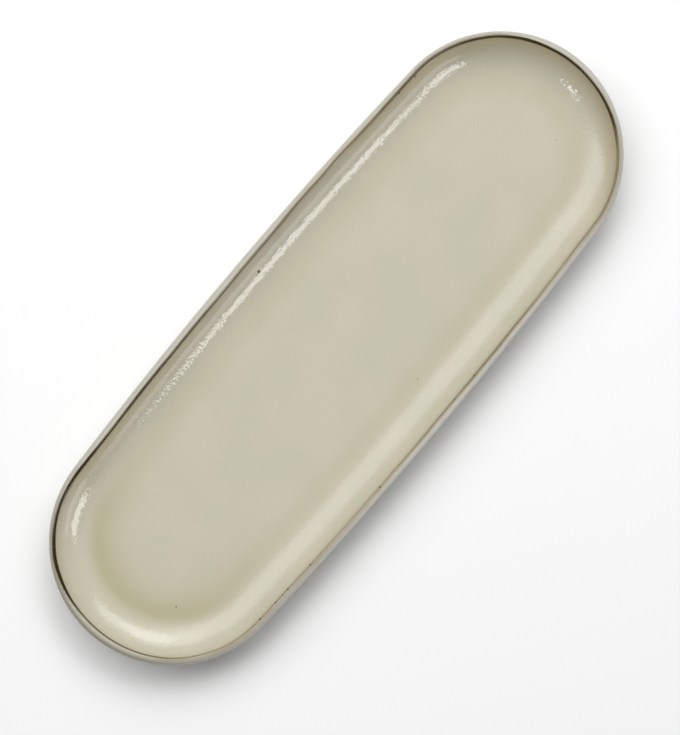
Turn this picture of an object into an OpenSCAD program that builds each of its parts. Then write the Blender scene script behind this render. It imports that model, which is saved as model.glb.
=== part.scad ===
// Asparagus plate: a long oval stoneware plate with a raised wall, glazed inside and out.
// A fired clay body carries four coats of glaze, and iron spots that burnt through two of them.
// The origin is the centre of the plane that the foot ring stands on. +X runs along the plate, +Z up.

/* [Plan] */
// Overall length, over the widest line of the wall
plate_l = 445; // [380:5:480]
// Overall width, over the widest line of the wall
plate_w = 153.5; // [136:0.5:180]
// How far the middle of a long side bows out past its ends
side_ease = 4; // [2:0.1:8]

/* [Section] */
// Overall height, from the foot to the top of the lip
plate_h = 24; // [21:0.5:32]
// Height of the base above the table, inside the foot ring
foot_h = 2.2; // [1.4:0.1:3.6]
// Thickness of the floor, with both glazes
floor_t = 5.4; // [4.8:0.1:7]
// Thickness of the wall, with both glazes
wall_t = 5.2; // [4.6:0.1:6.4]
// Radius of the gentle cove that leaves the floor, where the height leaves room for it
cove_r = 30; // [20:1:36]
// Radius of the tighter turn, where the height leaves room for it
turn_r = 12.5; // [8:0.5:16]
// Radius of the lip's inner edge, which the glaze draws back from
lip_r = 1.6; // [1.2:0.1:2.2]

/* [Foot ring] */
// From the edge of the floor in to the foot's outer face, so that plates stack
foot_setback = 1.6; // [0.8:0.1:5]
// Width of the foot ring
foot_w = 4.6; // [3:0.2:8]
// Rounding of the foot's two lower edges
foot_round = 1; // [0.4:0.1:1.4]

/* [Glaze] */
// Thickness of each coat of glaze
glaze_t = 0.5; // [0.3:0.05:0.8]
// Diameter of the largest iron spot
spot_d = 1.5; // [0.8:0.1:2.4]

/* [Hidden] */
// Steps in a full turn of the section's arcs and the ends, and of the long sides
arc_fn = 128;
side_fn = 1600;
$fn = arc_fn;
// How far a cut runs past what it cuts, and a sweep past the plane that trims it, in degrees
overrun = 1;
over_turn = 1;

// Radii that neighbouring arcs share are kept to a hundredth of a millimetre, so that the arcs meet
function hundredths(v) = round(100 * v) / 100;

// Plan: the tips' arcs run into the long sides' arcs, tangent to them
tip_r = hundredths(plate_w / 2 - side_ease);
tip_x = plate_l / 2 - tip_r;
side_r = hundredths((tip_x ^ 2 + (plate_w / 2) ^ 2 - tip_r ^ 2) / (plate_w - 2 * tip_r));
// The tips' centres lie a seam past the long axis, so that no wedge of the floor comes to a point short of it
seam = 0.01;
side_y = plate_w / 2 - side_r - seam;
// Direction of the line from a side's centre through a tip's, on which the two arcs meet
side_turn = atan2(-side_y, tip_x);

// The cove and the turn after it stand for right triangles with whole sides, 3-4-5 and 10296-11753-15625,
// so that the sines and cosines are short decimals and the stretches of the section meet exactly
cove_sine_share = 0.6;
turn_sine_share = 0.658944;
// Slope at which the gentle cove hands over to the tighter turn, and the wall's slope above that
cove_slope = asin(cove_sine_share);
turn_slope = asin(turn_sine_share);
wall_slope = cove_slope + turn_slope;

// Section: x is 0 at the widest line and falls inwards, y is the height above the table
floor_z = foot_h + floor_t;
lip_outer_r = wall_t - lip_r;
lip_step = lip_outer_r - lip_r;
// The cove, the turn and at least a glaze's thickness of straight wall share the rise to the lip
rise = plate_h - lip_r - lip_step * sin(wall_slope) + lip_r * cos(wall_slope) - floor_z;
curve_rise = rise - glaze_t * sin(wall_slope);
cove_fit = hundredths(min(cove_r, curve_rise / 2 / (1 - cos(cove_slope))));
turn_room = curve_rise - cove_fit * (1 - cos(cove_slope));
turn_fit = hundredths(min(turn_r, turn_room / (cos(cove_slope) - cos(wall_slope))));
turn_rise = turn_fit * (cos(cove_slope) - cos(wall_slope));
// Straight wall, from the end of the turn to the lip's inner edge
wall_run = (curve_rise - turn_rise - cove_fit * (1 - cos(cove_slope))) / sin(wall_slope) + glaze_t + lip_step;
// Edge of the floor, where the cove starts
floor_x = -lip_outer_r + lip_step * cos(wall_slope) - lip_r * sin(wall_slope) - wall_run * cos(wall_slope)
    - turn_fit * (sin(wall_slope) - sin(cove_slope)) - cove_fit * sin(cove_slope);

// The foot's inner face, from the edge of the floor
foot_in = foot_setback + foot_w;

// Iron spots on the floor: along and across, as shares of half the plate, and the size as a share of the largest
floor_spot_shares = [
    [-0.805, -0.35, 0.6],
    [0.076, -0.64, 0.45],
    [0.805, -0.256, 0.45],
];
// Iron spots on the long walls: along, as a share of the way to the tip's centre, which side, the size
wall_spot_shares = [
    [0.03, 1, 0.9],
];
// Iron spots on the long sides of the rim, in the same way
side_spot_shares = [
    [-0.45, 1, 0.7],
    [-0.36, 1, 0.55],
    [0.92, 1, 0.6],
    [1.01, 1, 0.55],
    [-1.01, -1, 0.6],
    [-0.92, -1, 0.55],
    [-0.88, -1, 0.45],
    [-0.85, -1, 0.6],
    [-0.72, -1, 0.55],
    [-0.31, -1, 0.6],
    [0.145, -1, 0.55],
    [0.265, -1, 0.55],
];
// Iron spots on the tips of the rim: which end, the place as a share of the tip arc's half, the size
tip_spot_shares = [
    [1, -0.48, 0.6],
    [-1, 0.26, 0.4],
];
// The wall's spots sit where the cove has this slope, and the rim's halfway round the lip's inner edge
wall_spot_slope = 30.4;
wall_spot_inset = -floor_x - cove_fit * sin(wall_spot_slope);
rim_spot_inset = lip_outer_r - lip_step * cos(wall_slope) + lip_r * sin(45);

// Frames along the section. Each turns its children to the start of one stretch.
module at_floor_edge() {
    translate([floor_x, 0]) children();
}

module at_cove() {
    at_floor_edge() translate([0, floor_z + cove_fit]) children();
}

module at_turn() {
    at_cove() rotate(cove_slope) translate([0, turn_fit - cove_fit]) children();
}

// The end of the inner face: x runs through the wall, from inside to outside, and y up along it
module at_lip() {
    at_turn() rotate(turn_slope) rotate(-90) translate([turn_fit, wall_run]) children();
}

// Part of a ring, from straight down round to the angle given
module band(inner, outer, angle) {
    intersection() {
        difference() {
            circle(r = outer);
            circle(r = inner);
        }
        translate([0, -outer - overrun]) square(outer + overrun);
        rotate(angle) translate([-outer - overrun, -outer - overrun]) square(outer + overrun);
    }
}

// A quarter disc, or a quarter ring, between x and y when side is 1, or between -x and y when it is -1
module quarter_round(r, side, hole = 0) {
    intersection() {
        difference() {
            circle(r = r);
            if (hole > 0) circle(r = hole);
        }
        translate([side > 0 ? 0 : -r - overrun, 0]) square(r + overrun);
    }
}

// The cove and the turn, between two depths below the inner face
module curved_wall(from, to) {
    at_cove() band(cove_fit + from, cove_fit + to, cove_slope);
    at_turn() band(turn_fit + from, turn_fit + to, turn_slope);
}

module foot_section() {
    translate([-foot_in, foot_round]) square([foot_w, foot_h + floor_t / 2 - foot_round]);
    translate([foot_round - foot_in, 0]) square([foot_w - 2 * foot_round, foot_round]);
    for (side = [-1, 1])
        translate([-foot_in + foot_w / 2 + side * (foot_w / 2 - foot_round), foot_round])
            mirror([0, 1]) quarter_round(foot_round, side);
}

module clay_section() {
    curved_wall(glaze_t, wall_t - glaze_t);
    at_lip() {
        translate([glaze_t, -wall_run]) square([lip_r - glaze_t, wall_run]);
        translate([lip_r, -wall_run]) square([lip_outer_r - glaze_t, wall_run - lip_step]);
        translate([lip_r, 0]) quarter_round(lip_r - glaze_t, -1);
        translate([lip_r, -lip_step]) quarter_round(lip_outer_r - glaze_t, 1);
    }
    at_floor_edge() {
        translate([-foot_setback, floor_z - wall_t + glaze_t]) square([foot_setback, wall_t - 2 * glaze_t]);
        translate([-plate_w, foot_h + glaze_t]) square([plate_w - foot_setback, floor_t - 2 * glaze_t]);
        foot_section();
    }
}

module well_glaze_section() {
    curved_wall(0, glaze_t);
    at_lip() translate([0, -wall_run]) square([glaze_t, wall_run]);
    at_floor_edge() translate([-plate_w, floor_z - glaze_t]) square([plate_w, glaze_t]);
}

module outer_glaze_section() {
    curved_wall(wall_t - glaze_t, wall_t);
    at_lip() {
        translate([wall_t - glaze_t, -wall_run]) square([glaze_t, wall_run - lip_step]);
        translate([lip_r, -lip_step]) quarter_round(lip_outer_r, 1, lip_outer_r - glaze_t);
    }
    at_floor_edge() translate([-foot_setback, floor_z - wall_t]) square([foot_setback, glaze_t]);
}

module base_glaze_section() {
    at_floor_edge() translate([-plate_w, foot_h]) square([plate_w - foot_in, glaze_t]);
}

module rim_section() {
    at_lip() translate([lip_r, 0]) quarter_round(lip_r, -1, lip_r - glaze_t);
}

// Turns a section about the frame's Z axis, from the frame's X axis round.
// What of the section would lie past the axis is left out.
module sweep(r, angle, fn = $fn) {
    rotate_extrude(angle = angle, $fn = fn) intersection() {
        $fn = arc_fn;
        translate([r, 0]) children();
        translate([0, -overrun]) square([r + overrun, plate_h + 2 * overrun]);
    }
}

// The frames at a side's centre and at a tip's, with X along the line on which the two arcs meet
module at_side() {
    translate([0, side_y, 0]) rotate([0, 0, side_turn]) children();
}

module at_tip() {
    at_side() translate([side_r - tip_r, 0, 0]) children();
}

// What lies between +X and +Y
module quadrant() {
    translate([0, 0, -overrun]) cube([plate_l, plate_w, plate_h + 2 * overrun]);
}

// The quarter of the plate between +X and +Y: half a side and half a tip
module quarter_plate() {
    intersection() {
        union() {
            at_side() sweep(side_r, 90 - side_turn + over_turn, side_fn) children();
            at_tip() mirror([0, 1, 0]) sweep(tip_r, side_turn + over_turn) children();
        }
        quadrant();
    }
}

module round_plate() {
    for (x = [0, 1], y = [0, 1])
        mirror([x, 0, 0]) mirror([0, y, 0]) quarter_plate() children();
}

// An iron spot. Its pocket is a pin through the coat, and the spot itself is the coat inside that pin.
// The pin is turned so that its seam lies on the side away from the rim.
// The first child is the coat's section, and r is the radius of the arc that it follows.
module spot(share, r, inset, solid) {
    intersection() {
        translate([r - inset, 0, 0]) rotate([0, 0, 180]) cylinder(d = share * spot_d, h = plate_h);
        if (solid) rotate([0, 0, -atan(spot_d / r)]) sweep(r, 2 * atan(spot_d / r)) children();
    }
}

// Spots on the arcs of the long sides, all at the same inset
module side_spots(shares, inset, solid) {
    for (s = shares)
        mirror([0, s[1] > 0 ? 0 : 1, 0]) translate([0, side_y, 0])
            rotate([0, 0, acos(s[0] * tip_x / (side_r - inset))])
                spot(s[2], side_r, inset, solid) children();
}

module tip_spots(solid) {
    for (s = tip_spot_shares)
        mirror([s[0] > 0 ? 0 : 1, 0, 0]) translate([tip_x, 0, 0]) rotate([0, 0, s[1] * side_turn])
            spot(s[2], tip_r, rim_spot_inset, solid) children();
}

module floor_spots() {
    for (s = floor_spot_shares)
        translate([s[0] * plate_l / 2, s[1] * plate_w / 2, floor_z - glaze_t])
            cylinder(d = s[2] * spot_d, h = glaze_t);
}

module clay_body() {
    color("burlywood") round_plate() clay_section();
}

module well_glaze() {
    color("antiquewhite") difference() {
        round_plate() well_glaze_section();
        floor_spots();
        side_spots(wall_spot_shares, wall_spot_inset, false);
    }
}

module outer_glaze() {
    color("beige") round_plate() outer_glaze_section();
}

module base_glaze() {
    color("ivory") round_plate() base_glaze_section();
}

module rim_band() {
    color("saddlebrown") difference() {
        round_plate() rim_section();
        side_spots(side_spot_shares, rim_spot_inset, false);
        tip_spots(false);
    }
}

module iron_spots() {
    color("black") {
        floor_spots();
        side_spots(wall_spot_shares, wall_spot_inset, true) well_glaze_section();
        side_spots(side_spot_shares, rim_spot_inset, true) rim_section();
        tip_spots(true) rim_section();
    }
}

clay_body();
well_glaze();
outer_glaze();
base_glaze();
rim_band();
iron_spots();
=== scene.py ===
"""A long oval stoneware plate, glazed cream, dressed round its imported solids.

All sizes are in millimetres until a mesh is made, and Blender's own units are metres.
The plate lies along X and opens upwards along Z, as its solids do.
"""

import logging
import math
from dataclasses import dataclass, field, replace
from enum import Enum
from typing import Any, Callable, Optional

import bmesh
import bpy
import numpy as np
from mathutils import Matrix, Vector


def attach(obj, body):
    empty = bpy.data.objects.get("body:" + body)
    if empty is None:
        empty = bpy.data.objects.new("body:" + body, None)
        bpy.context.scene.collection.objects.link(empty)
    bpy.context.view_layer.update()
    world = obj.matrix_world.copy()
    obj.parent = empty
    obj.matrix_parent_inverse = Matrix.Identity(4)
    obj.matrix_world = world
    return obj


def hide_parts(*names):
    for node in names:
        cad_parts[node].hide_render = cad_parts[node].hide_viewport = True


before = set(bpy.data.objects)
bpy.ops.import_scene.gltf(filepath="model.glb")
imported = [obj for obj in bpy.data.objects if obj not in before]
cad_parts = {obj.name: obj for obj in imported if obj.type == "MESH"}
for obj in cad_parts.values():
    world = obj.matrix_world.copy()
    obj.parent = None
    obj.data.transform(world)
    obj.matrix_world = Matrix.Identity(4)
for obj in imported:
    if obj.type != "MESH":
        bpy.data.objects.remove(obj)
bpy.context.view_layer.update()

log = logging.getLogger("asparagus_plate")

MM = 0.001
Pair = tuple[float, float]
# Pairs of a place round the outline, from 0 to 1, and a value there
Places = tuple[Pair, ...]
# Places and sizes of iron spots
Specks = tuple[tuple[float, float, float], ...]
Array = np.ndarray
Piece = bpy.types.Object
Material = bpy.types.Material
# Vertices nearer than this, in metres, are merged, and edges that bend more than this are sharp
WELD = 1e-6
SHARP = math.radians(50)


class Slot(Enum):
    """The record's material slots."""

    CLAY = "bare_stoneware"
    CREAM = "cream_glaze"
    BROWN = "brown_glaze"
    IRON = "iron_spot"


def linear(hex_colour: str) -> tuple[float, float, float, float]:
    """Turns an sRGB hex colour into Blender's linear colour.

    Args:
        hex_colour: six hex digits, such as "CAC5B3".

    Returns:
        Red, green, blue and an alpha of 1.
    """
    channels = [int(hex_colour[i : i + 2], 16) / 255 for i in (0, 2, 4)]
    r, g, b = (c / 12.92 if c <= 0.04045 else ((c + 0.055) / 1.055) ** 2.4 for c in channels)
    return (r, g, b, 1.0)


def scale_of(size_mm: float) -> float:
    """The Scale that gives a pattern features of that size, in millimetres."""
    return 1 / (size_mm * MM)


@dataclass(frozen=True)
class Outline:
    """The plate's plan: two tips and two long sides, each an arc, tangent where they meet.

    The length and the width lie a hair under 445 and 153.5, inside the solids' own facets.
    """

    length: float = 444.98
    width: float = 153.46
    side_ease: float = 4.0

    @property
    def tip_r(self) -> float:
        """Radius of the tips."""
        return self.width / 2 - self.side_ease

    @property
    def tip_x(self) -> float:
        """Distance from the plate's middle to a tip's centre."""
        return self.length / 2 - self.tip_r

    @property
    def side_r(self) -> float:
        """Radius of the long sides."""
        half = self.width / 2
        return (self.tip_x**2 + half**2 - self.tip_r**2) / (2 * (half - self.tip_r))

    @property
    def side_y(self) -> float:
        """Where the centre of the +Y side's arc lies on the Y axis."""
        return self.width / 2 - self.side_r

    def trace(self, turn: Array) -> tuple[Array, Array, Array]:
        """Points on the outline, evenly spaced along it.

        A quarter of the outline is a tip arc followed by half a side arc. The place along the
        quarter gives the angle of the outline's normal, and the other quarters mirror it.

        Args:
            turn: places along the outline, from 0 on +X, through +Y, round to 1.

        Returns:
            Points, outward unit normals, and the distance from each point along its normal to
            the long axis or, in a tip, to the tip's centre.
        """
        corner = math.atan2(-self.side_y, self.tip_x)
        tip_run = self.tip_r * corner
        side_run = self.side_r * (math.pi / 2 - corner)
        quarter = (np.asarray(turn, float) % 1.0) * 4
        index = np.minimum(np.floor(quarter).astype(int), 3)
        share = quarter - index
        run = np.where(index % 2 == 0, share, 1 - share) * (tip_run + side_run)
        on_tip = run <= tip_run
        angle = np.where(on_tip, run / self.tip_r, corner + (run - tip_run) / self.side_r)
        centre_x = np.where(on_tip, self.tip_x, 0.0)
        centre_y = np.where(on_tip, 0.0, self.side_y)
        radius = np.where(on_tip, self.tip_r, self.side_r)
        reach = np.where(on_tip, self.tip_r, self.side_r + self.side_y / np.sin(np.maximum(angle, corner)))
        sign_x = np.where((index == 0) | (index == 3), 1.0, -1.0)
        sign_y = np.where(index < 2, 1.0, -1.0)
        normal = np.stack([sign_x * np.cos(angle), sign_y * np.sin(angle)], axis=-1)
        centre = np.stack([sign_x * centre_x, sign_y * centre_y], axis=-1)
        return centre + radius[..., None] * normal, normal, reach


@dataclass(frozen=True)
class Profile:
    """One run of a section, from the plate's middle outwards or back.

    inset is the distance in from the outline, height is above the table, and share is how far a
    point has gone from its inset on towards the plate's middle. rim is the distance along the
    glaze's surface from the middle of the lip's inner edge, positive towards the outside.
    """

    inset: Array
    height: Array
    share: Array
    rim: Array

    @staticmethod
    def join(*runs: "Profile") -> "Profile":
        """Runs laid end to end, in order."""
        parts = zip(*((r.inset, r.height, r.share, r.rim) for r in runs))
        return Profile(*(np.concatenate(part) for part in parts))

    def back(self) -> "Profile":
        """The same run, taken the other way."""
        return Profile(self.inset[::-1], self.height[::-1], self.share[::-1], self.rim[::-1])


@dataclass(frozen=True)
class Section:
    """The plate's section, the same all round: floor, gentle cove, tighter turn, wall, lip and foot."""

    height: float = 23.999
    foot_h: float = 2.2
    floor_t: float = 5.4
    wall_t: float = 5.2
    cove_r: float = 30.0
    cove_slope: float = math.asin(0.6)
    turn_slope: float = math.asin(0.658944)
    turn_fit: float = 11.26
    lip_r: float = 1.6
    foot_setback: float = 1.6
    foot_w: float = 4.6
    foot_round: float = 1.0
    glaze_t: float = 0.5
    arc_step: float = math.radians(3)
    floor_steps: int = 26
    wall_steps: int = 4
    # Under 1, this crowds the floor's points towards its edge
    floor_power: float = 0.8

    # How far under the glaze's surface it runs
    depth: float = 0.0

    def under(self) -> "Section":
        """The section under the glaze, with fewer points, as it lies hidden."""
        return replace(self, depth=self.glaze_t, arc_step=math.radians(6), floor_steps=12)

    @property
    def wall_slope(self) -> float:
        """Slope of the straight wall."""
        return self.cove_slope + self.turn_slope

    @property
    def floor_z(self) -> float:
        """Height of the glazed floor."""
        return self.foot_h + self.floor_t

    @property
    def lip_outer_r(self) -> float:
        """Radius of the lip's outer edge."""
        return self.wall_t - self.lip_r

    @property
    def lip_step(self) -> float:
        """How much lower the lip's outer radius is centred than its inner one."""
        return self.lip_outer_r - self.lip_r

    @property
    def wall_run(self) -> float:
        """Length of the straight wall, so that the lip's top comes to the plate's height.

        Returns:
            The plate's height less the rise of the floor, the curves and the lip, along the slope.
        """
        lip_top = self.lip_r - self.lip_r * math.cos(self.wall_slope)
        curves = self.cove_r * (1 - math.cos(self.cove_slope))
        curves += self.turn_fit * (math.cos(self.cove_slope) - math.cos(self.wall_slope))
        return (self.height - lip_top - self.floor_z - curves) / math.sin(self.wall_slope)

    @property
    def floor_inset(self) -> float:
        """How far the flat floor's edge lies inside the outline.

        Returns:
            The sum of what the lip, the wall, the turn and the cove reach inwards.
        """
        slope, cove = self.wall_slope, self.cove_slope
        inset = self.lip_outer_r - self.lip_step * math.cos(slope) + self.lip_r * math.sin(slope)
        inset += self.wall_run * math.cos(slope) + self.turn_fit * (math.sin(slope) - math.sin(cove))
        return inset + self.cove_r * math.sin(cove)

    @property
    def foot_in(self) -> float:
        """From the floor's edge in to the foot's inner face."""
        return self.foot_setback + self.foot_w

    @property
    def lip_half(self) -> float:
        """Half the length of the lip's inner edge, which is a quarter of a circle."""
        return self.lip_r * math.pi / 4

    @property
    def inner_run(self) -> float:
        """Length of the surface from the floor's edge to the middle of the lip's inner edge."""
        curves = self.cove_r * self.cove_slope + self.turn_fit * self.turn_slope
        return curves + self.wall_run + self.lip_half

    @property
    def outer_edge(self) -> float:
        """Length of the surface from the middle of the lip's inner edge to the widest place."""
        return self.lip_half + self.lip_outer_r * self.wall_slope

    @property
    def outer_run(self) -> float:
        """Length of the surface from the middle of the lip's inner edge to the cove's outer end.

        Returns:
            The sum of the lip's, the wall's, the turn's and the cove's lengths on the outside.
        """
        lip = self.lip_half + self.lip_outer_r * math.pi / 2
        turn = (self.turn_fit + self.wall_t) * self.turn_slope
        cove = (self.cove_r + self.wall_t) * self.cove_slope
        return lip + self.wall_run - self.lip_step + turn + cove

    def arc(self, centre: Array, radius: float, start: float, end: float) -> Array:
        """Points on an arc of the section, with angles taken from straight down towards the outside.

        Args:
            centre: x and z of the arc's centre.
            radius: its radius.
            start: first angle.
            end: last angle.

        Returns:
            One row of x and z for each point.
        """
        count = max(2, math.ceil(abs(end - start) / self.arc_step) + 1)
        angle = np.linspace(start, end, count)
        return centre + radius * np.stack([np.sin(angle), -np.cos(angle)], axis=-1)

    @property
    def cove_centre(self) -> Array:
        """Centre of the cove."""
        return np.array([-self.floor_inset, self.floor_z + self.cove_r])

    @property
    def turn_centre(self) -> Array:
        """Centre of the turn, on the line from the cove's centre through the cove's end."""
        along = np.array([math.sin(self.cove_slope), -math.cos(self.cove_slope)])
        return self.cove_centre + (self.cove_r - self.turn_fit) * along

    @property
    def through(self) -> Array:
        """Unit direction through the wall, from inside to outside."""
        return np.array([math.sin(self.wall_slope), -math.cos(self.wall_slope)])

    @property
    def up(self) -> Array:
        """Unit direction up along the wall."""
        return np.array([math.cos(self.wall_slope), math.sin(self.wall_slope)])

    @property
    def lip_origin(self) -> Array:
        """The end of the wall's inner face."""
        return self.turn_centre + self.turn_fit * self.through + self.wall_run * self.up

    def run(self, points: Array, rim_start: float, rim_end: float) -> Profile:
        """A run of points as a profile, with rim distances spread along it by length.

        Args:
            points: one row of x and z for each point.
            rim_start: the rim distance of the first point.
            rim_end: the rim distance of the last.

        Returns:
            The profile.
        """
        steps = np.hypot(*np.diff(points, axis=0).T)
        along = np.concatenate([[0.0], np.cumsum(steps)]) / max(steps.sum(), 1e-9)
        rim = rim_start + (rim_end - rim_start) * along
        return Profile(-points[:, 0], points[:, 1], np.zeros(len(points)), rim)

    def floor(self, z: float, inset: float, rim: float) -> Profile:
        """A flat floor, from the plate's middle out to an inset.

        Args:
            z: its height.
            inset: how far inside the outline it ends.
            rim: the rim distance of its edge.

        Returns:
            Points whose share falls from 1 in the middle to 0 at the edge.
        """
        share = 1 - np.linspace(0, 1, self.floor_steps) ** self.floor_power
        whole = np.ones(self.floor_steps)
        return Profile(whole * inset, whole * z, share, whole * rim)

    def inner_wall(self) -> Profile:
        """Cove, turn and wall on the inside, from the floor's edge up.

        Returns:
            Two arcs, tangent where they meet, and a straight line.
        """
        cove = self.arc(self.cove_centre, self.cove_r + self.depth, 0, self.cove_slope)
        turn = self.arc(self.turn_centre, self.turn_fit + self.depth, self.cove_slope, self.wall_slope)
        foot = self.turn_centre + (self.turn_fit + self.depth) * self.through
        steps = np.linspace(0, self.wall_run, self.wall_steps + 1)[1:, None]
        wall = foot + steps * self.up
        return self.run(np.concatenate([cove, turn[1:], wall]), -self.inner_run, -self.lip_half)

    def lip_inner(self) -> Profile:
        """The lip's rounded inner edge, from the wall's inner face to the top.

        Returns:
            A quarter of a circle.
        """
        centre = self.lip_origin + self.lip_r * self.through
        slope = self.wall_slope
        points = self.arc(centre, self.lip_r - self.depth, slope - math.pi, slope - 1.5 * math.pi)
        return self.run(points, -self.lip_half, self.lip_half)

    def lip_outer(self) -> Profile:
        """The lip's rounded outer edge, from the top to the wall's outer face.

        Returns:
            A quarter of a circle.
        """
        centre = self.lip_origin + self.lip_r * self.through - self.lip_step * self.up
        slope = self.wall_slope
        points = self.arc(centre, self.lip_outer_r - self.depth, slope + math.pi / 2, slope)
        return self.run(points, self.lip_half, self.lip_half + self.lip_outer_r * math.pi / 2)

    def outer_wall(self) -> Profile:
        """Wall, turn and cove on the outside, from the lip down.

        Returns:
            A straight line and two arcs, tangent where they meet.
        """
        out = self.wall_t - self.depth
        foot = self.turn_centre + (self.turn_fit + out) * self.through
        top = foot + (self.wall_run - self.lip_step) * self.up
        turn = self.arc(self.turn_centre, self.turn_fit + out, self.wall_slope, self.cove_slope)
        cove = self.arc(self.cove_centre, self.cove_r + out, self.cove_slope, 0)
        start = self.lip_half + self.lip_outer_r * math.pi / 2
        return self.run(np.concatenate([[top], [foot], turn[1:], cove[1:]]), start, self.outer_run)

    def flat(self) -> Profile:
        """The narrow flat under the floor's edge, from the cove's outer end in to the foot.

        Returns:
            Its two ends.
        """
        x = -self.floor_inset
        z = self.floor_z - self.wall_t + self.depth
        points = np.array([[x, z], [x - self.foot_setback, z]])
        return self.run(points, self.outer_run, self.outer_run + self.foot_setback)

    def foot(self, rim: float) -> Profile:
        """The foot ring's bare clay, from under the wall round to the glaze in the recess.

        Args:
            rim: the rim distance of all of it.

        Returns:
            Straight faces with a rounded edge on each side.
        """
        x = -self.floor_inset
        low = self.floor_z - self.wall_t + self.glaze_t
        outer_x, inner_x = x - self.foot_setback, x - self.foot_in
        edge = self.foot_round
        outer_round = self.arc(np.array([outer_x - edge, edge]), edge, math.pi / 2, 0)
        inner_round = self.arc(np.array([inner_x + edge, edge]), edge, 0, -math.pi / 2)
        start, end = [[x, low], [outer_x, low]], [[inner_x, self.foot_h + self.glaze_t]]
        return self.run(np.concatenate([start, outer_round, inner_round, end]), rim, rim)


def periodic(turn: Array, places: Places) -> Array:
    """A value that varies smoothly round the outline, through a few listed places.

    Args:
        turn: places along the outline, from 0 to 1.
        places: pairs of place and value, in order of place.

    Returns:
        The value at each place, eased between its neighbours with a cosine.
    """
    at = np.array([p for p, _ in places])
    value = np.array([v for _, v in places])
    at = np.concatenate([[at[-1] - 1], at, [at[0] + 1]])
    value = np.concatenate([[value[-1]], value, [value[0]]])
    turn = np.asarray(turn) % 1.0
    index = np.clip(np.searchsorted(at, turn, side="right") - 1, 0, len(at) - 2)
    share = (turn - at[index]) / (at[index + 1] - at[index])
    ease = (1 - np.cos(np.pi * share)) / 2
    return value[index] * (1 - ease) + value[index + 1] * ease


@dataclass
class Sweep:
    """Carries a profile round the outline.

    A point's place is the outline's point, moved in along the normal by the profile's inset and
    then on towards the plate's middle by its share of what is left. Its height is the profile's.
    """

    outline: Outline
    steps: int

    def grid(self, profile: Profile) -> tuple[Array, Array, Array]:
        """Places of all the points, as an array of profile point by place round by x, y and z.

        Args:
            profile: the section to carry round.

        Returns:
            The places, the outline's turn at each place round, and how far each point has gone
            on from its inset towards the plate's middle.
        """
        turn = np.arange(self.steps) / self.steps
        point, normal, reach = self.outline.trace(turn)
        on = profile.share[:, None] * (reach[None, :] - profile.inset[:, None])
        inset = profile.inset[:, None] + on
        flat = point[None] - inset[..., None] * normal[None]
        height = np.broadcast_to(profile.height[:, None], inset.shape)
        return np.concatenate([flat, height[..., None]], axis=-1), turn, on


def ring_faces(rings: int, around: int, closed: bool = False) -> Array:
    """Quads between neighbouring rings of points.

    Args:
        rings: number of rings.
        around: number of points in each.
        closed: whether the last ring joins the first.

    Returns:
        One row of four indices for each quad, facing outwards for rings that run from the inside,
        over the top, to the outside.
    """
    here = np.arange(rings if closed else rings - 1)[:, None]
    there = (here + 1) % rings
    point = np.arange(around)
    after = (point + 1) % around
    corners = ((here, point), (there, point), (there, after), (here, after))
    return np.stack([ring * around + place for ring, place in corners], axis=-1).reshape(-1, 4)


def make_piece(name: str, points: Array, quads: Array, values: Optional[dict[str, Array]] = None) -> Piece:
    """Makes a smooth mesh object from arrays, welds its seams and points its faces outwards.

    Args:
        name: the piece's name.
        points: one row of x, y and z for each vertex, in millimetres.
        quads: one row of four vertex indices for each face.
        values: named numbers to store on the vertices.

    Returns:
        The new object, linked to the scene.
    """
    mesh = bpy.data.meshes.new(name)
    mesh.vertices.add(len(points))
    mesh.vertices.foreach_set("co", (points * MM).astype(np.float32).ravel())
    mesh.loops.add(quads.size)
    mesh.loops.foreach_set("vertex_index", quads.astype(np.int32).ravel())
    mesh.polygons.add(len(quads))
    mesh.polygons.foreach_set("loop_start", np.arange(0, quads.size, 4, dtype=np.int32))
    mesh.update(calc_edges=True)
    for key, value in (values or {}).items():
        layer = mesh.attributes.new(key, "FLOAT", "POINT")
        layer.data.foreach_set("value", value.astype(np.float32).ravel())
    work = bmesh.new()
    work.from_mesh(mesh)
    bmesh.ops.remove_doubles(work, verts=work.verts, dist=WELD)
    bmesh.ops.recalc_face_normals(work, faces=work.faces)
    work.to_mesh(mesh)
    work.free()
    mesh.validate()
    mesh.shade_smooth()
    mesh.set_sharp_from_angle(angle=SHARP)
    piece = bpy.data.objects.new(name, mesh)
    bpy.context.scene.collection.objects.link(piece)
    return piece


class Recipe:
    """A material under construction: its node tree and the one way to add to it."""

    def __init__(self, name: str) -> None:
        """Starts an empty material.

        Args:
            name: the material's name.
        """
        self.material = bpy.data.materials.new(name)
        self.material.use_nodes = True
        self.tree = self.material.node_tree
        self.tree.nodes.clear()

    def add(
        self, kind: str, inputs: Optional[dict[Any, Any]] = None, give: Any = 0, **settings: Any
    ) -> Optional[bpy.types.NodeSocket]:
        """Adds a node.

        Args:
            kind: the node's type, without its ShaderNode.
            inputs: a value or an output socket for each input, by name or number.
            give: which output to give back, by name or number.
            settings: the node's own settings.

        Returns:
            That output, or nothing where the node has none.
        """
        node = self.tree.nodes.new("ShaderNode" + kind)
        for key, value in settings.items():
            setattr(node, key, value)
        for key, value in (inputs or {}).items():
            if isinstance(value, bpy.types.NodeSocket):
                self.tree.links.new(value, node.inputs[key])
            else:
                node.inputs[key].default_value = value
        return node.outputs[give] if len(node.outputs) else None


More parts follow.
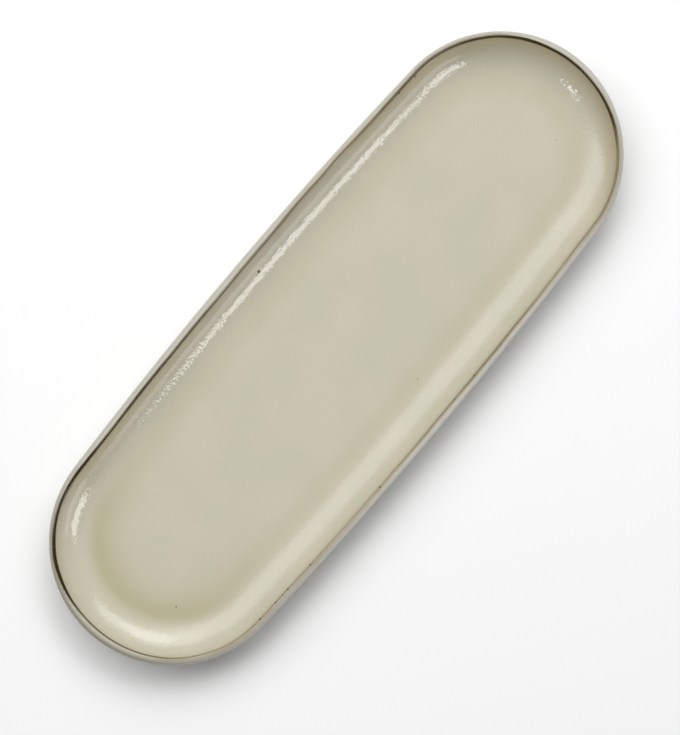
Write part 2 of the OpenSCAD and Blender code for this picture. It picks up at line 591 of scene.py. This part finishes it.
@dataclass(frozen=True)
class CreamGlaze:
    """Glossy cream stoneware glaze, dipped and fired in reduction.

    Its skin is dimpled like orange peel, which breaks a highlight into pebbles. Its warm off-white
    drifts to a cool grey green. It gathers in the hollows, where it looks greener, and thins on
    sharp edges, where the clay's iron burns through as a brown line. The greener colour of the
    hollows is also laid on the floor near the -X tip as painted shade. The warm colour down the wall
    is laid on more where the wall lies in shade, as painted shade. The dark lip edge is partly
    painted shade, darkest at the -X tip.
    """

    warm: str = "BCB7A5"
    cool: str = "B7B4A1"
    # Greener where the glaze pooled; also laid near the -X tip as painted shade
    pool_and_shade: str = "ACA68B"
    # Warm where the glaze runs thin down the wall; laid on more where the wall lies in shade, as painted
    # shade
    thin_and_shade: str = "BFB088"
    pale: str = "AFADA1"
    # Dark olive of the lip's outer edge, partly painted shade
    edge: str = "7E785C"
    toast: str = "8A6A42"
    line_dark: str = "291D07"
    line_pale: str = "766942"
    bleed: str = "86704A"
    roughness: float = 0.05
    ior: float = 1.5
    drift_mm: float = 34.0
    # What of the drift's noise is all warm, and what all cool
    drift_range: Pair = (0.36, 0.66)
    speckle_mm: float = 1.1
    speckle_range: Pair = (0.3, 0.7)
    speckle_change: float = 0.035
    peel_mm: float = 1.5
    peel_height_mm: float = 0.07
    # How softly the dimples run into each other, from 0 to 1
    peel_blend: float = 0.5
    ripple_mm: float = 7.0
    ripple_height_mm: float = 0.03
    # How far the brown line wanders to each side, and over what length
    wander_mm: float = 0.9
    wander_length_mm: float = 30.0
    # Where the lip's pale glaze starts, outside the line's middle, and where it is full
    lip_mm: Pair = (0.2, 1.2)
    # For the least and the most iron: half the line's width, then with its soft edge, and its strength
    line_mm: Pair = (0.1, 0.75)
    line_soft_mm: Pair = (0.5, 1.45)
    line_strength: Pair = (0.5, 1.0)
    # From where to where the brown bleeds into the glaze, and how strongly
    bleed_mm: Pair = (0.6, 2.7)
    bleed_strength: Pair = (0.4, 0.7)

    def make(self, name: str) -> Material:
        """Builds the material.

        Args:
            name: the material's name.

        Returns:
            The material.
        """
        r = Recipe(name)
        rgba = {"data_type": "RGBA"}
        eased = {"interpolation_type": "SMOOTHSTEP"}
        place = r.add("TexCoord", give="Object")
        rim, iron, pool_and_shade, toast, thin_and_shade, edge = (
            r.add("Attribute", give="Fac", attribute_name=key)
            for key in ("rim", "iron", "pool_and_shade", "toast", "thin_and_shade", "edge")
        )

        # Ground colour, drifting over a few centimetres with a faint fine speckle
        drift = r.add("TexNoise", {"Vector": place, "Scale": scale_of(self.drift_mm), "Detail": 3.0})
        drifted = r.add("MapRange", {0: drift, 1: self.drift_range[0], 2: self.drift_range[1]}, **eased)
        ground = r.add("Mix", {0: drifted, 6: linear(self.warm), 7: linear(self.cool)}, 2, **rgba)
        speckle = r.add("TexNoise", {"Vector": place, "Scale": scale_of(self.speckle_mm)})
        low, high = self.speckle_range
        change = self.speckle_change
        dusk = r.add("MapRange", {0: speckle, 1: low, 2: high, 3: 1 - change, 4: 1 + change})
        ground = r.add("VectorMath", {0: ground, 1: dusk}, operation="MULTIPLY")

        # Distance to the brown line's middle, which wanders a little
        wander = r.add("TexNoise", {"Vector": place, "Scale": scale_of(self.wander_length_mm)})
        shift = r.add("MapRange", {0: wander, 3: -self.wander_mm, 4: self.wander_mm})
        moved = r.add("Math", {0: rim, 1: shift}, operation="ADD")
        away = r.add("Math", {0: moved}, operation="ABSOLUTE")

        # Thin and warm down the wall, laid on more where the wall is in shade as painted shade, pale
        # outside the line, then the edge, partly painted shade, the pool, which near the -X tip is painted
        # shade, and the toast
        outer = r.add("MapRange", {0: moved, 1: self.lip_mm[0], 2: self.lip_mm[1]}, **eased)
        hues = (self.thin_and_shade, self.pale, self.edge, self.pool_and_shade, self.toast)
        for share, hue in zip((thin_and_shade, outer, edge, pool_and_shade, toast), hues):
            ground = r.add("Mix", {0: share, 6: ground, 7: linear(hue)}, 2, **rgba)

        # The line is wider, darker and fuller where there is more iron, and bleeds into the glaze
        ranges = (self.line_mm, self.line_soft_mm, self.line_strength, self.bleed_strength)
        half, soft, strength, most = (r.add("MapRange", {0: iron, 3: low, 4: high}) for low, high in ranges)
        core = r.add("MapRange", {0: away, 1: half, 2: soft, 3: 1.0, 4: 0.0}, **eased)
        amount = r.add("Math", {0: core, 1: strength}, operation="MULTIPLY")
        brown = r.add("Mix", {0: iron, 6: linear(self.line_pale), 7: linear(self.line_dark)}, 2, **rgba)
        near = r.add("MapRange", {0: away, 1: self.bleed_mm[0], 2: self.bleed_mm[1], 3: 1.0, 4: 0.0}, **eased)
        bleed = r.add("Math", {0: near, 1: most}, operation="MULTIPLY")
        ground = r.add("Mix", {0: bleed, 6: ground, 7: linear(self.bleed)}, 2, **rgba)
        colour = r.add("Mix", {0: amount, 6: ground, 7: brown}, 2, **rgba)

        # Slow ripples, and orange peel as a field of round dimples
        ripple = r.add("TexNoise", {"Vector": place, "Scale": scale_of(self.ripple_mm), "Detail": 1.0})
        peel = r.add(
            "TexVoronoi",
            {"Vector": place, "Scale": scale_of(self.peel_mm), "Smoothness": self.peel_blend},
            feature="SMOOTH_F1",
        )
        rippled = r.add("Bump", {"Height": ripple, "Distance": self.ripple_height_mm * MM})
        dimpled = r.add("Bump", {"Height": peel, "Distance": self.peel_height_mm * MM, "Normal": rippled})
        skin = r.add(
            "BsdfPrincipled",
            {"Base Color": colour, "Roughness": self.roughness, "IOR": self.ior, "Normal": dimpled},
        )
        r.add("OutputMaterial", {"Surface": skin})
        return r.material


@dataclass(frozen=True)
class Grainy:
    """An unglazed finish: two colours mixed by a fine grain, which also stands up a little."""

    light: str
    dark: str
    roughness: float
    grain_mm: float
    height_mm: float
    # The noise's detail and roughness, and what of it is all light and what all dark
    detail: float = 2.0
    crumble: float = 0.5
    ends: Pair = (0.0, 1.0)
    ease: str = "LINEAR"

    def make(self, name: str) -> Material:
        """Builds the material.

        Args:
            name: the material's name.

        Returns:
            The material.
        """
        r = Recipe(name)
        noise = {"Scale": scale_of(self.grain_mm), "Detail": self.detail, "Roughness": self.crumble}
        grain = r.add("TexNoise", {"Vector": r.add("TexCoord", give="Object"), **noise})
        share = r.add("MapRange", {0: grain, 1: self.ends[0], 2: self.ends[1]}, interpolation_type=self.ease)
        colour = r.add("Mix", {0: share, 6: linear(self.light), 7: linear(self.dark)}, 2, data_type="RGBA")
        bump = r.add("Bump", {"Height": grain, "Distance": self.height_mm * MM})
        skin = r.add("BsdfPrincipled", {"Base Color": colour, "Roughness": self.roughness, "Normal": bump})
        r.add("OutputMaterial", {"Surface": skin})
        return r.material


# Fired clay wiped clean of glaze: matt and buff, with grit that shows as fine darker specks
BARE_STONEWARE = Grainy(
    "B9A283", "97795A", roughness=0.88, grain_mm=0.7, height_mm=0.12, detail=3.0, crumble=0.6,
    ends=(0.5, 0.72), ease="SMOOTHSTEP",
)
# Iron that burnt up through the glaze: near black, fused and slightly rough
BURNT_IRON = Grainy("160F09", "33261A", roughness=0.45, grain_mm=0.35, height_mm=0.05)


@dataclass(frozen=True)
class WhiteBoard:
    """Painted white board that the plate stands on: matt, with no shine at all."""

    white: str = "FBFBFB"
    roughness: float = 0.9

    def make(self, name: str) -> Material:
        """Builds the material.

        Args:
            name: the material's name.

        Returns:
            The material.
        """
        r = Recipe(name)
        skin = r.add(
            "BsdfPrincipled",
            {"Base Color": linear(self.white), "Roughness": self.roughness, "Specular IOR Level": 0.0},
        )
        r.add("OutputMaterial", {"Surface": skin})
        return r.material


@dataclass(frozen=True)
class PooledGlazeAndPaintedShade:
    """Where the well's glaze gathered in a ring at the wall's foot, and painted shade on the floor near the
    -X tip.
    """

    ring: float = 0.3
    ring_in: float = 1.0
    ring_width: float = 7.0
    # How strong the painted shade is on the floor near the -X tip
    end: float = 0.75
    painted_shade_x: float = -190.0
    painted_shade_length: float = 45.0
    # Past this the wall of the tip rises, and the painted shade ends sooner
    tip_x: float = -195.0
    painted_shade_tip_length: float = 60.0
    # How far inside the floor's edge the painted shade is full, and how it falls off in and up
    painted_shade_in: float = 2.0
    painted_shade_width: float = 16.0
    painted_shade_rise: float = 5.0

    def share(self, x: Array, past_floor: Array) -> Array:
        """How fully the glaze is pooled, or painted with shade near the -X tip.

        The ring and the painted shade are each exp(-(d / width)^2) of the distance d from their middle,
        and the painted shade's is the product of four of them, along the plate and across the floor's edge.

        Args:
            x: place along the plate.
            past_floor: distance up the surface from the floor's edge, under 0 on the floor.

        Returns:
            From 0 to 1.
        """
        ring = self.ring * np.exp(-(((past_floor + self.ring_in) / self.ring_width) ** 2))
        along = ((x - self.painted_shade_x) / self.painted_shade_length) ** 2
        along += (np.minimum(x - self.tip_x, 0) / self.painted_shade_tip_length) ** 2
        across = (np.minimum(past_floor + self.painted_shade_in, 0) / self.painted_shade_width) ** 2
        across += (np.maximum(past_floor, 0) / self.painted_shade_rise) ** 2
        return np.clip(ring + self.end * np.exp(-along - across), 0, 1)


@dataclass
class Plate:
    """The whole plate: the clay body and what lies on it."""

    outline: Outline = field(default_factory=Outline)
    section: Section = field(default_factory=Section)
    steps: int = 640
    # How strongly the iron shows along the rim, from the +X tip through +Y and the -X tip
    iron_places: Places = (
        (0, 1), (0.06, 0.95), (0.11, 0.8), (0.17, 0.55), (0.24, 0.7), (0.3, 0.95), (0.38, 1), (0.44, 1),
        (0.5, 1), (0.535, 0.6), (0.57, 0.25), (0.65, 0.2), (0.7, 0.15), (0.75, 0.35), (0.81, 0.5),
        (0.86, 0.3), (0.94, 0.55), (0.965, 0.95),
    )
    # How far in the brown line lies from the middle of the lip's inner edge, in millimetres
    line_places: Places = (
        (0, 0.9), (0.06, -1.1), (0.13, -0.6), (0.19, -0.5), (0.25, 0.6), (0.31, 0.3), (0.37, 0.5),
        (0.44, -1), (0.5, 1.8), (0.56, 0.2), (0.625, 0.1), (0.75, 0.1), (0.875, 0), (0.94, -0.3),
    )
    # How dark and olive the glaze is on the lip's outer edge, partly painted shade, darkest at the -X tip,
    # which faces away from the key
    edge_and_shade_places: Places = (
        (0, 0.1), (0.25, 0.05), (0.38, 0.1), (0.44, 0.45), (0.47, 0.8), (0.5, 1), (0.53, 0.8),
        (0.57, 0.4), (0.65, 0.15), (0.75, 0.1), (0.87, 0.15), (0.94, 0.3), (0.965, 0.15),
    )
    # How strongly the thin glaze down the wall shows its warmth, set high where the wall lies in shade as
    # painted shade
    thin_and_shade_places: Places = (
        (0, 0.8), (0.06, 0.85), (0.125, 0.75), (0.19, 0.15), (0.25, 0.15), (0.31, 0.8), (0.375, 0.75),
        (0.44, 0.15), (0.5, 0.1), (0.56, 0), (0.625, 0.1), (0.75, 0.15), (0.875, 0.1), (0.92, 0.5),
        (0.95, 0.8),
    )
    # How far down the wall the glaze stays thin
    thin_width: float = 17.0
    # How far inside the widest place the lip is darkest, and how widely
    edge_in: float = 1.2
    edge_width: float = 3.0
    # How widely the glaze is toasted by the foot, and up to what height in the recess
    toast_width: float = 1.6
    recess_top: float = 4.0
    # A rim distance beyond every pattern, for the clay
    clear: float = 60.0
    pooled_and_shade: PooledGlazeAndPaintedShade = field(default_factory=PooledGlazeAndPaintedShade)

    def swept(self, name: str, profile: Profile, closed: bool) -> Piece:
        """Carries a profile round the plate and stores what its finish reads.

        rim is the distance along the surface from the brown line. pool_and_shade rises where the glaze
        gathered, and is painted shade near the -X tip. thin_and_shade fades down the wall from the
        line, and is laid on more where the wall is in shade, as painted shade. edge and toast are
        exp(-(d / width)^2) of the distance d from the lip's dark outer edge, partly painted shade, and
        from the glaze's edges by the foot.

        Args:
            name: the piece's name.
            profile: the section of the piece.
            closed: whether the profile is a closed loop.

        Returns:
            The piece.
        """
        points, turn, on = Sweep(self.outline, self.steps).grid(profile)
        s = self.section
        x, z = points[..., 0], points[..., 2]
        iron = np.broadcast_to(periodic(turn, self.iron_places), x.shape)
        from_lip = profile.rim[:, None] - on
        rim = from_lip + periodic(turn, self.line_places)
        inside = from_lip < 0
        past_floor = from_lip + s.inner_run
        # Pooled glaze in the ring, and painted shade on the floor near the -X tip
        pool_and_shade = self.pooled_and_shade.share(x, past_floor) * inside
        # Warmth of the thin glaze, made stronger on the walls in shade as painted shade
        thin_and_shade = np.clip(1 + from_lip / self.thin_width, 0, 1) * inside
        thin_and_shade = thin_and_shade * periodic(turn, self.thin_and_shade_places)
        # Dark lip edge, partly painted shade
        from_edge = from_lip - s.outer_edge + self.edge_in
        edge = np.exp(-((from_edge / self.edge_width) ** 2)) * periodic(turn, self.edge_and_shade_places)
        to_foot = np.abs(from_lip - s.outer_run - s.foot_setback)
        to_recess = np.hypot(past_floor + s.foot_in, z - s.foot_h)
        to_recess = np.where(z > self.recess_top, math.inf, to_recess)
        toast = np.exp(-((np.minimum(to_foot, to_recess) / self.toast_width) ** 2))
        values = dict(iron=iron, rim=rim, pool_and_shade=pool_and_shade, toast=toast, thin_and_shade=thin_and_shade, edge=edge)
        quads = ring_faces(len(profile.inset), self.steps, closed)
        return make_piece(name, points.reshape(-1, 3), quads, values)

    def well_glaze(self) -> Piece:
        """The coat over the floor and up the inner wall, as a closed shell.

        Returns:
            The piece.
        """
        s, u = self.section, self.section.under()
        rim = -s.inner_run
        top = Profile.join(s.floor(s.floor_z, s.floor_inset, rim), s.inner_wall())
        below = Profile.join(u.floor(s.floor_z - s.glaze_t, s.floor_inset, rim), u.inner_wall())
        return self.swept("well_glaze_coat", Profile.join(top, below.back()), False)

    def rim_band(self) -> Piece:
        """The lip's inner edge, where the glaze draws thin and the iron shows."""
        loop = Profile.join(self.section.lip_inner(), self.section.under().lip_inner().back())
        return self.swept("rim_band_coat", loop, True)

    def outer_glaze(self) -> Piece:
        """The coat over the lip's outer edge, down the wall and in to the foot.

        Returns:
            The piece.
        """
        outside, inside = (
            Profile.join(s.lip_outer(), s.outer_wall(), s.flat())
            for s in (self.section, self.section.under())
        )
        return self.swept("outer_glaze_coat", Profile.join(outside, inside.back()), True)

    def base_glaze(self) -> Piece:
        """The coat in the recess inside the foot ring.

        Returns:
            The piece.
        """
        s = self.section
        inset, start = s.floor_inset + s.foot_in, -s.inner_run - s.foot_in
        top = s.floor(s.foot_h + s.glaze_t, inset, start)
        below = s.under().floor(s.foot_h, inset, start)
        return self.swept("base_glaze_coat", Profile.join(top, below.back()), False)

    def clay_body(self) -> Piece:
        """The fired clay between the coats, with its foot ring.

        Returns:
            The piece.
        """
        s = self.section.under()
        floor = s.floor(s.floor_z - s.glaze_t, s.floor_inset, -self.clear)
        wall = Profile.join(s.inner_wall(), s.lip_inner(), s.lip_outer(), s.outer_wall())
        base = s.floor(s.foot_h + s.glaze_t, s.floor_inset + s.foot_in, self.clear)
        whole = Profile.join(floor, wall, s.foot(self.clear), base.back())
        return self.swept("fired_clay_body", whole, False)


@dataclass(frozen=True)
class Spot:
    """One iron spot: a small uneven dome that breaks through the glaze."""

    centre: Vector
    normal: Vector
    radius: float
    seed: int
    rings: int = 7
    around: int = 28
    rise: float = 0.09
    root: float = 0.3
    # How often each wave of the edge goes round, and the range that its size is drawn from
    waves: tuple[int, ...] = (2, 3, 4, 5)
    wave_size: Pair = (0.02, 0.09)

    def arrays(self) -> tuple[Array, Array]:
        """Points and quads of the dome.

        A grid of distance from the middle by angle. The edge wanders with a few seeded waves,
        the height falls as a cosine to the edge, and two more rings close the dome in the coat.

        Returns:
            One row of x, y and z for each point, and one row of four indices for each quad.
        """
        random = np.random.default_rng(self.seed)
        angle = np.arange(self.around) / self.around * math.tau
        size = random.uniform(*self.wave_size, len(self.waves))
        phase = random.uniform(0, math.tau, len(self.waves))
        bends = np.array(self.waves)[:, None] * angle + phase[:, None]
        edge = 1 + (size[:, None] * np.cos(bends)).sum(axis=0)
        share = np.linspace(0, 1, self.rings)
        reach = self.radius * share[:, None] * edge
        height = self.rise * np.cos(share * math.pi / 2)[:, None] * np.ones_like(angle)
        # Down from the edge to the root, and in to the middle
        reach = np.concatenate([reach, reach[-1:], reach[:1] * 0])
        height = np.concatenate([height, height[-1:] * 0 - self.root, height[:1] * 0 - self.root])
        side = self.normal.orthogonal().normalized()
        other = self.normal.cross(side)
        frame_rows = np.array([side, other, self.normal])
        local = np.stack([reach * np.cos(angle), reach * np.sin(angle), height], axis=-1)
        points = np.array(self.centre) + local.reshape(-1, 3) @ frame_rows
        return points, ring_faces(len(reach), self.around)


@dataclass
class IronSpots:
    """All the iron spots, where the solids have them."""

    outline: Outline
    section: Section
    # Across, in millimetres
    largest: float = 1.5
    first_seed: int = 3
    cove_spot_slope: float = math.radians(30.4)
    # Along and across, as shares of half the plate, and the size as a share of the largest
    floor_shares: Specks = ((-0.805, -0.35, 0.6), (0.076, -0.64, 0.45), (0.805, -0.256, 0.45))
    # Along, as a share of the way to the tip's centre, which side, and the size
    cove_shares: Specks = ((0.03, 1, 1.22),)
    side_shares: Specks = (
        (-0.45, 1, 0.94), (-0.36, 1, 0.74), (0.92, 1, 0.81), (1.01, 1, 0.74), (-1.01, -1, 0.81),
        (-0.92, -1, 0.74), (-0.88, -1, 0.61), (-0.85, -1, 0.81), (-0.72, -1, 0.74), (-0.31, -1, 0.81),
        (0.145, -1, 0.74), (0.265, -1, 0.74),
    )
    # Which end, the place as a share of the tip arc's half, and the size
    tip_shares: Specks = ((1, -0.48, 0.6), (-1, 0.26, 0.4))

    def on_arc(
        self, angle: float, centre: Pair, radius: float, signs: Pair, place: Array, out: Array
    ) -> tuple[Vector, Vector]:
        """Place and normal of a point of the section carried to an angle of one of the plan's arcs.

        Args:
            angle: direction of the outline's normal.
            centre: the arc's centre in the +X, +Y quarter.
            radius: the arc's radius.
            signs: which quarter to mirror to.
            place: x and z of the section's point.
            out: x and z of the surface's normal there.

        Returns:
            The point and its normal.
        """
        normal = np.array([math.cos(angle), math.sin(angle)])
        flat = np.array(centre) + (radius + place[0]) * normal
        sign = np.array(signs)
        return (
            Vector((*(flat * sign), place[1])),
            Vector((*(out[0] * normal * sign), out[1])).normalized(),
        )

    def build(self) -> Piece:
        """All the spots as one mesh of separate small domes.

        Returns:
            The piece.
        """
        o, s = self.outline, self.section
        cove_out = np.array([-math.sin(self.cove_spot_slope), math.cos(self.cove_spot_slope)])
        cove_place = s.cove_centre - s.cove_r * cove_out
        lip_centre = s.lip_origin + s.lip_r * s.through
        rim_out = math.sqrt(0.5) * np.array([-1, 1])
        rim_place = lip_centre + s.lip_r * rim_out
        spots: list[tuple[Vector, Vector, float]] = [
            (Vector((x * o.length / 2, y * o.width / 2, s.floor_z)), Vector((0, 0, 1)), size)
            for x, y, size in self.floor_shares
        ]
        rows = ((self.cove_shares, cove_place, cove_out), (self.side_shares, rim_place, rim_out))
        for shares, place, out in rows:
            for along, side, size in shares:
                angle = math.acos(along * o.tip_x / (o.side_r + place[0]))
                at, up = self.on_arc(angle, (0, o.side_y), o.side_r, (1, side), place, out)
                spots.append((at, up, size))
        corner = math.atan2(-o.side_y, o.tip_x)
        for end, along, size in self.tip_shares:
            at, up = self.on_arc(along * corner, (o.tip_x, 0), o.tip_r, (end, 1), rim_place, rim_out)
            spots.append((at, up, size))
        points, quads, count = [], [], 0
        for number, (at, up, size) in enumerate(spots):
            p, q = Spot(at, up, size * self.largest / 2, seed=number + self.first_seed).arrays()
            points.append(p)
            quads.append(q + count)
            count += len(p)
        domes = np.concatenate(points)
        # The rim's spots end level with the lip's top
        domes[:, 2] = np.minimum(domes[:, 2], s.height)
        return make_piece("iron_spot_domes", domes, np.concatenate(quads))


@dataclass(frozen=True)
class Panel:
    """A soft rectangular light that faces the plate.

    Its direction from the plate is in degrees, round from +X towards +Y and up from the table. Its
    distance, width and height are in metres. A fully lit white table has a glow of about 1.
    """

    name: str
    azimuth: float
    elevation: float
    far: float
    size: Pair
    glow: float
    fill: bool = False


@dataclass
class Studio:
    """A white table, a large soft key, smaller fill lights and the camera above the plate."""

    # The photograph's width in pixels, and the size of one on the plate in millimetres
    frame_px: int = 680
    px_mm: float = 0.5892
    # How steeply the plate's long axis rises to the right in it
    rise_deg: float = 49.73
    # Where the camera aims, from the plate's middle towards the photograph's right and top
    aim_right: float = 1.53
    aim_up: float = -11.65
    aim_z: float = 22.0
    camera_far: float = 1500.0
    # How far it leans from straight above, towards +X and +Y
    tilt_x_deg: float = -1.0
    tilt_y_deg: float = 2.0
    sensor_mm: float = 36.0
    table_half: float = 6000.0
    # How bright the white surroundings are
    air: float = 0.27
    # Three panels, one behind the other, make a key that fades towards its edges
    panels: tuple[Panel, ...] = (
        Panel("key_0", 72, 52, 3.0, (4.7, 1.6), 0.69),
        Panel("key_1", 72, 52, 3.02, (5.2, 2.2), 0.64),
        Panel("key_2", 72, 52, 3.04, (5.7, 2.8), 0.59),
        Panel("second_key", 15, 47, 3.0, (2.4, 1.2), 1.8),
        Panel("window_wall", 25, 45, 3.0, (3.0, 2.2), 0.6),
        Panel("strip", -83, 42.5, 0.98, (0.33, 0.23), 5.4, fill=True),
        Panel("low_panel", -83, 14, 1.0, (0.6, 0.46), 1.45, fill=True),
        Panel("small_strip", 172, 57, 1.0, (0.11, 0.2), 7.0, fill=True),
    )

    def camera(self) -> None:
        """Puts the camera where its picture's frame, scale and turn are the photograph's."""
        rise = math.radians(self.rise_deg)
        right = Vector((math.cos(rise), -math.sin(rise), 0))
        up = Vector((math.sin(rise), math.cos(rise), 0))
        aim = right * self.aim_right + up * self.aim_up + Vector((0, 0, self.aim_z))
        lean = (math.tan(math.radians(self.tilt_x_deg)), math.tan(math.radians(self.tilt_y_deg)))
        tilt = Vector((*lean, 1)).normalized()
        side = (right - tilt * right.dot(tilt)).normalized()
        top = tilt.cross(side)
        turn = Matrix((side, top, tilt)).transposed().to_4x4()
        data = bpy.data.cameras.new("camera")
        data.sensor_fit = "HORIZONTAL"
        data.sensor_width = self.sensor_mm
        data.lens = self.sensor_mm * self.camera_far / (self.frame_px * self.px_mm)
        camera = bpy.data.objects.new("camera", data)
        camera.matrix_world = Matrix.Translation((aim + tilt * self.camera_far) * MM) @ turn
        bpy.context.scene.collection.objects.link(camera)
        bpy.context.scene.camera = camera

    def light(self, panel: Panel, shade: bpy.types.Collection) -> None:
        """Adds a panel.

        Args:
            panel: the panel.
            shade: what it leaves unlit, where it is a fill.
        """
        a, e = math.radians(panel.azimuth), math.radians(panel.elevation)
        out = Vector((math.cos(a) * math.cos(e), math.sin(a) * math.cos(e), math.sin(e)))
        data = bpy.data.lights.new(panel.name, "AREA")
        data.shape = "RECTANGLE"
        data.size, data.size_y = panel.size
        # Blender gives an area light a radiance of a quarter of its power over its area
        data.energy = 4 * panel.glow * panel.size[0] * panel.size[1]
        light = bpy.data.objects.new(panel.name, data)
        light.location = out * panel.far
        light.rotation_euler = out.to_track_quat("Z", "Y").to_euler()
        if panel.fill:
            light.light_linking.receiver_collection = shade
        bpy.context.scene.collection.objects.link(light)

    def table(self) -> Piece:
        """A plain matt white table.

        Returns:
            The table.
        """
        half = self.table_half
        points = np.array([[-half, -half, 0], [half, -half, 0], [half, half, 0], [-half, half, 0]])
        table = make_piece("table", points, np.array([[0, 1, 2, 3]]))
        table.data.materials.append(WhiteBoard().make("matt_white_board"))
        return table

    def build(self) -> None:
        """Makes the table, the lights, the surroundings and the camera.

        The fill lights leave the table out, so that they don't lighten the plate's shadow.
        """
        shade = bpy.data.collections.new("unlit_by_the_fill")
        shade.objects.link(self.table())
        shade.collection_objects[0].light_linking.link_state = "EXCLUDE"
        self.camera()
        for panel in self.panels:
            self.light(panel, shade)
        world = bpy.data.worlds.new("studio_air")
        world.use_nodes = True
        glow = world.node_tree.nodes["Background"].inputs
        glow["Color"].default_value = linear("FFFFFF")
        glow["Strength"].default_value = self.air
        bpy.context.scene.world = world
        bpy.context.scene.view_settings.view_transform = "Standard"


def dress(piece: Piece, material: Material, node: str) -> None:
    """Gives a piece its finish and says what it stands for.

    Args:
        piece: the new piece.
        material: its finish.
        node: the solid that it stands for.
    """
    piece.data.materials.append(material)
    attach(piece, "root")
    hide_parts(node)
    log.info("%s: %d faces, for %s", piece.name, len(piece.data.polygons), node)


def main() -> None:
    """Builds the plate, its finishes and the studio."""
    logging.basicConfig(level=logging.INFO, format="%(message)s")
    plate = Plate()
    cream = CreamGlaze().make("reduction_fired_cream_glaze")
    brown = CreamGlaze().make("iron_brown_edge_of_the_cream_glaze")
    clay = BARE_STONEWARE.make("bare_fired_stoneware")
    iron = BURNT_IRON.make("burnt_iron_spot")
    build: list[tuple[Callable[[], Piece], Material, Slot, str]] = [
        (plate.clay_body, clay, Slot.CLAY, "clay_body"),
        (plate.well_glaze, cream, Slot.CREAM, "well_glaze"),
        (plate.outer_glaze, cream, Slot.CREAM, "outer_glaze"),
        (plate.base_glaze, cream, Slot.CREAM, "base_glaze"),
        (plate.rim_band, brown, Slot.BROWN, "rim_band"),
        (IronSpots(plate.outline, plate.section).build, iron, Slot.IRON, "iron_spots"),
    ]
    for make, material, slot, node in build:
        dress(make(), material, node)
    Studio().build()


if __name__ == "__main__":
    main()
